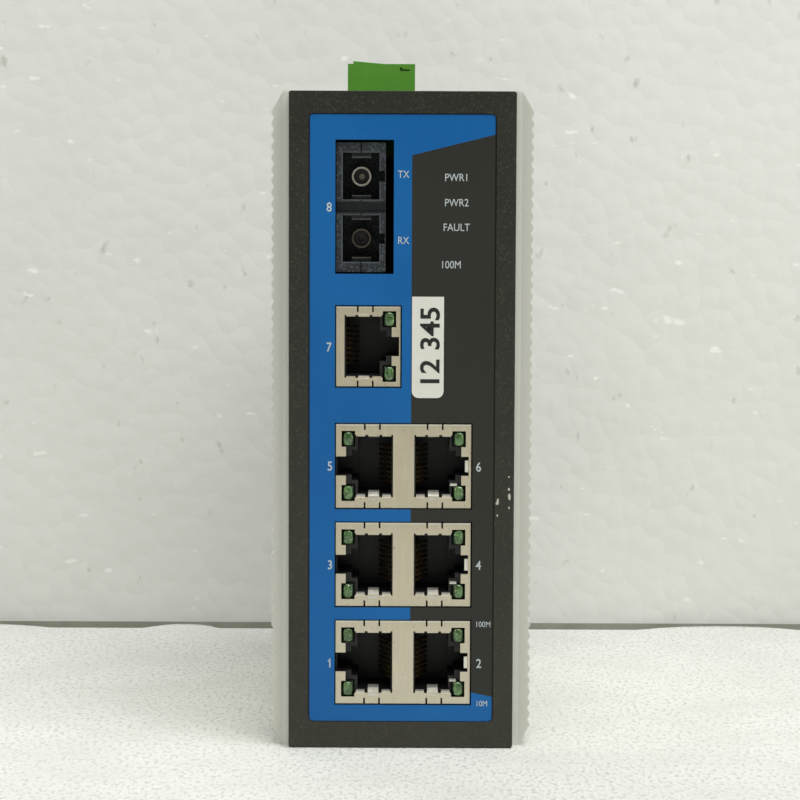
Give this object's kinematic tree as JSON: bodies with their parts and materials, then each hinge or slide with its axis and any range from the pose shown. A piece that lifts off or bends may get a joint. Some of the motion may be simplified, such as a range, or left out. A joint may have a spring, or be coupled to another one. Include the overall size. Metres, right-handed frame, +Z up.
{
  "type": "din rail ethernet switch",
  "caption": "Slim metal-cased Ethernet switch for a 35 mm rail, with a fibre port, copper ports, finned side panels and a pull-off terminal plug on top.",
  "frame": {"origin": "middle of the base of the overall box", "axes": "+X to the right seen from the front, +Y from the front to the back, +Z up"},
  "size_m": [0.0536, 0.112, 0.1435],
  "materials": {
    "case_paint": "fine textured paint",
    "overlay_print": "printed polyester film",
    "label_tape": "laminated tape",
    "anodised_aluminium": "satin anodised extrusion",
    "rail_aluminium": "extruded section",
    "jack_shield": "nickel-plated sheet",
    "black_moulding": "moulded",
    "lamp_lens": "diffusing lens",
    "gold_contacts": "gold-plated wire",
    "tinned_brass": "tin-plated",
    "circuit_board": "solder mask",
    "zinc_screws": "zinc-plated",
    "fibre_moulding": "moulded",
    "sleeve_metal": "turned sleeve",
    "green_moulding": "moulded polyamide",
    "red_moulding": "moulded",
    "white_moulding": "moulded",
    "spring_wire": "spring wire",
    "clear_guide": "clear moulding"
  },
  "bodies": {
    "case": {"alarm_switch_body": "red_moulding", "board_screws": "zinc_screws", "board_standoffs": "tinned_brass", "chassis": "case_paint", "double_jack_1_insert": "black_moulding", "double_jack_1_shield": "jack_shield", "double_jack_2_insert": "black_moulding", "double_jack_2_shield": "jack_shield", "double_jack_3_insert": "black_moulding", "double_jack_3_shield": "jack_shield", "earth_screw": "zinc_screws", "fault_relay": "black_moulding", "fibre_guides": "black_moulding", "fibre_module": "black_moulding", "fibre_receptacle": "fibre_moulding", "fibre_sleeves": "sleeve_metal", "front_bezel": "case_paint", "front_overlay": "overlay_print", "main_board": "circuit_board", "name_tape": "label_tape", "panel_screws": "zinc_screws", "port_contacts": "gold_contacts", "port_lights": "lamp_lens", "power_capacitors": "black_moulding", "rail_plate": "rail_aluminium", "rail_plate_screws": "zinc_screws", "side_panel_left": "anodised_aluminium", "side_panel_right": "anodised_aluminium", "signal_transformers": "black_moulding", "single_jack_insert": "black_moulding", "single_jack_shield": "jack_shield", "status_lights": "clear_guide", "switch_chip": "black_moulding", "terminal_header": "green_moulding", "terminal_pins": "tinned_brass"},
    "terminal_plug": {"terminal_plug": "green_moulding"},
    "terminal_screw_1": {"terminal_screw_1": "zinc_screws"},
    "terminal_screw_2": {"terminal_screw_2": "zinc_screws"},
    "terminal_screw_3": {"terminal_screw_3": "zinc_screws"},
    "terminal_screw_4": {"terminal_screw_4": "zinc_screws"},
    "terminal_screw_5": {"terminal_screw_5": "zinc_screws"},
    "terminal_screw_6": {"terminal_screw_6": "zinc_screws"},
    "wire_clamp_1": {"wire_clamp_1": "tinned_brass"},
    "wire_clamp_2": {"wire_clamp_2": "tinned_brass"},
    "wire_clamp_3": {"wire_clamp_3": "tinned_brass"},
    "wire_clamp_4": {"wire_clamp_4": "tinned_brass"},
    "wire_clamp_5": {"wire_clamp_5": "tinned_brass"},
    "wire_clamp_6": {"wire_clamp_6": "tinned_brass"},
    "alarm_lever_1": {"alarm_lever_1": "white_moulding"},
    "alarm_lever_2": {"alarm_lever_2": "white_moulding"},
    "alarm_lever_3": {"alarm_lever_3": "white_moulding"},
    "alarm_lever_4": {"alarm_lever_4": "white_moulding"},
    "alarm_lever_5": {"alarm_lever_5": "white_moulding"},
    "alarm_lever_6": {"alarm_lever_6": "white_moulding"},
    "alarm_lever_7": {"alarm_lever_7": "white_moulding"},
    "alarm_lever_8": {"alarm_lever_8": "white_moulding"},
    "rail_spring": {"rail_spring": "spring_wire"}
  },
  "joints": [
    {"name": "plug_pull", "type": "slide", "parent": "case", "child": "terminal_plug", "axis": [0, 0, 1], "range_m": [0, 0.012]},
    {"name": "terminal_screw_1_turn", "type": "hinge", "parent": "terminal_plug", "child": "terminal_screw_1", "pos_m": [-0.0102, -0.00946, 0.1383], "axis": [1, 0, 0], "range_deg": [0, 720]},
    {"name": "terminal_screw_2_turn", "type": "hinge", "parent": "terminal_plug", "child": "terminal_screw_2", "pos_m": [-0.0102, -0.00438, 0.1383], "axis": [1, 0, 0], "range_deg": [0, 720]},
    {"name": "terminal_screw_3_turn", "type": "hinge", "parent": "terminal_plug", "child": "terminal_screw_3", "pos_m": [-0.0102, 0.0007, 0.1383], "axis": [1, 0, 0], "range_deg": [0, 720]},
    {"name": "terminal_screw_4_turn", "type": "hinge", "parent": "terminal_plug", "child": "terminal_screw_4", "pos_m": [-0.0102, 0.00578, 0.1383], "axis": [1, 0, 0], "range_deg": [0, 720]},
    {"name": "terminal_screw_5_turn", "type": "hinge", "parent": "terminal_plug", "child": "terminal_screw_5", "pos_m": [-0.0102, 0.01086, 0.1383], "axis": [1, 0, 0], "range_deg": [0, 720]},
    {"name": "terminal_screw_6_turn", "type": "hinge", "parent": "terminal_plug", "child": "terminal_screw_6", "pos_m": [-0.0102, 0.01594, 0.1383], "axis": [1, 0, 0], "range_deg": [0, 720]},
    {"name": "wire_clamp_1_rise", "type": "slide", "parent": "terminal_plug", "child": "wire_clamp_1", "axis": [-1, 0, 0], "range_m": [0, 0.001]},
    {"name": "wire_clamp_2_rise", "type": "slide", "parent": "terminal_plug", "child": "wire_clamp_2", "axis": [-1, 0, 0], "range_m": [0, 0.001]},
    {"name": "wire_clamp_3_rise", "type": "slide", "parent": "terminal_plug", "child": "wire_clamp_3", "axis": [-1, 0, 0], "range_m": [0, 0.001]},
    {"name": "wire_clamp_4_rise", "type": "slide", "parent": "terminal_plug", "child": "wire_clamp_4", "axis": [-1, 0, 0], "range_m": [0, 0.001]},
    {"name": "wire_clamp_5_rise", "type": "slide", "parent": "terminal_plug", "child": "wire_clamp_5", "axis": [-1, 0, 0], "range_m": [0, 0.001]},
    {"name": "wire_clamp_6_rise", "type": "slide", "parent": "terminal_plug", "child": "wire_clamp_6", "axis": [-1, 0, 0], "range_m": [0, 0.001]},
    {"name": "alarm_lever_1_slide", "type": "slide", "parent": "case", "child": "alarm_lever_1", "axis": [1, 0, 0], "range_m": [0, 0.0018]},
    {"name": "alarm_lever_2_slide", "type": "slide", "parent": "case", "child": "alarm_lever_2", "axis": [1, 0, 0], "range_m": [0, 0.0018]},
    {"name": "alarm_lever_3_slide", "type": "slide", "parent": "case", "child": "alarm_lever_3", "axis": [1, 0, 0], "range_m": [0, 0.0018]},
    {"name": "alarm_lever_4_slide", "type": "slide", "parent": "case", "child": "alarm_lever_4", "axis": [1, 0, 0], "range_m": [0, 0.0018]},
    {"name": "alarm_lever_5_slide", "type": "slide", "parent": "case", "child": "alarm_lever_5", "axis": [1, 0, 0], "range_m": [0, 0.0018]},
    {"name": "alarm_lever_6_slide", "type": "slide", "parent": "case", "child": "alarm_lever_6", "axis": [1, 0, 0], "range_m": [0, 0.0018]},
    {"name": "alarm_lever_7_slide", "type": "slide", "parent": "case", "child": "alarm_lever_7", "axis": [1, 0, 0], "range_m": [0, 0.0018]},
    {"name": "alarm_lever_8_slide", "type": "slide", "parent": "case", "child": "alarm_lever_8", "axis": [1, 0, 0], "range_m": [0, 0.0018]},
    {"name": "rail_spring_press", "type": "slide", "parent": "case", "child": "rail_spring", "axis": [0, 0, 1], "range_m": [0, 0.003], "stiffness_N_per_m": 1500, "deforming": ["rail_spring"]}
  ],
  "couplings": [
    {"joint": "terminal_screw_1_turn", "follows": "wire_clamp_1_rise", "rad_per_m": 12566},
    {"joint": "terminal_screw_2_turn", "follows": "wire_clamp_2_rise", "rad_per_m": 12566},
    {"joint": "terminal_screw_3_turn", "follows": "wire_clamp_3_rise", "rad_per_m": 12566},
    {"joint": "terminal_screw_4_turn", "follows": "wire_clamp_4_rise", "rad_per_m": 12566},
    {"joint": "terminal_screw_5_turn", "follows": "wire_clamp_5_rise", "rad_per_m": 12566},
    {"joint": "terminal_screw_6_turn", "follows": "wire_clamp_6_rise", "rad_per_m": 12566}
  ]
}
